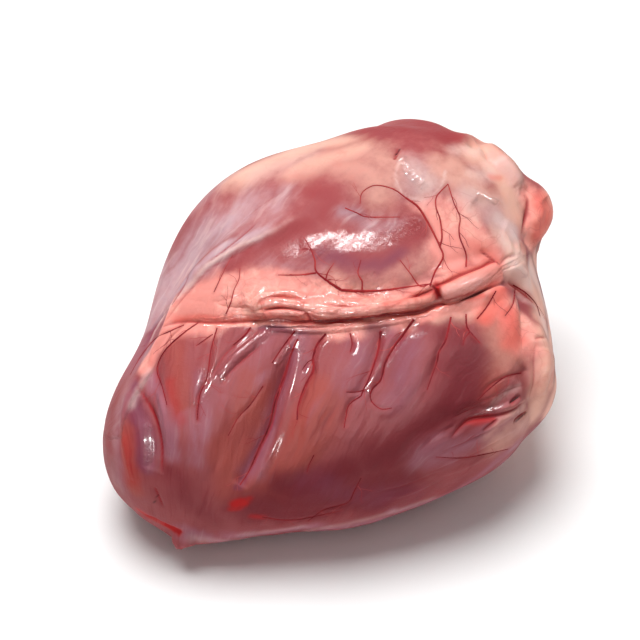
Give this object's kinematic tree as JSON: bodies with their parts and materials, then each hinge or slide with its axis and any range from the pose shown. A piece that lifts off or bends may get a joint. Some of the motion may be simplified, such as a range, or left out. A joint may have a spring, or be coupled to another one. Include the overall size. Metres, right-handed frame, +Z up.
{
  "type": "pork heart",
  "caption": "Whole raw pork heart lying on its back face, with a fat-lined seam between its ventricles, a ridge of membrane, a rim of fat round the base and a trimmed vessel stub.",
  "frame": {"origin": "middle of the underside, at the height of the surface the heart lies on", "axes": "+X from the tip of the heart to its trimmed base, +Y to the far side of the right ventricle, +Z up"},
  "size_m": [0.115, 0.0908, 0.0676],
  "materials": {
    "meat": "wet raw muscle and fat, satin to glossy"
  },
  "bodies": {
    "root": {"heart": "meat"}
  },
  "joints": []
}
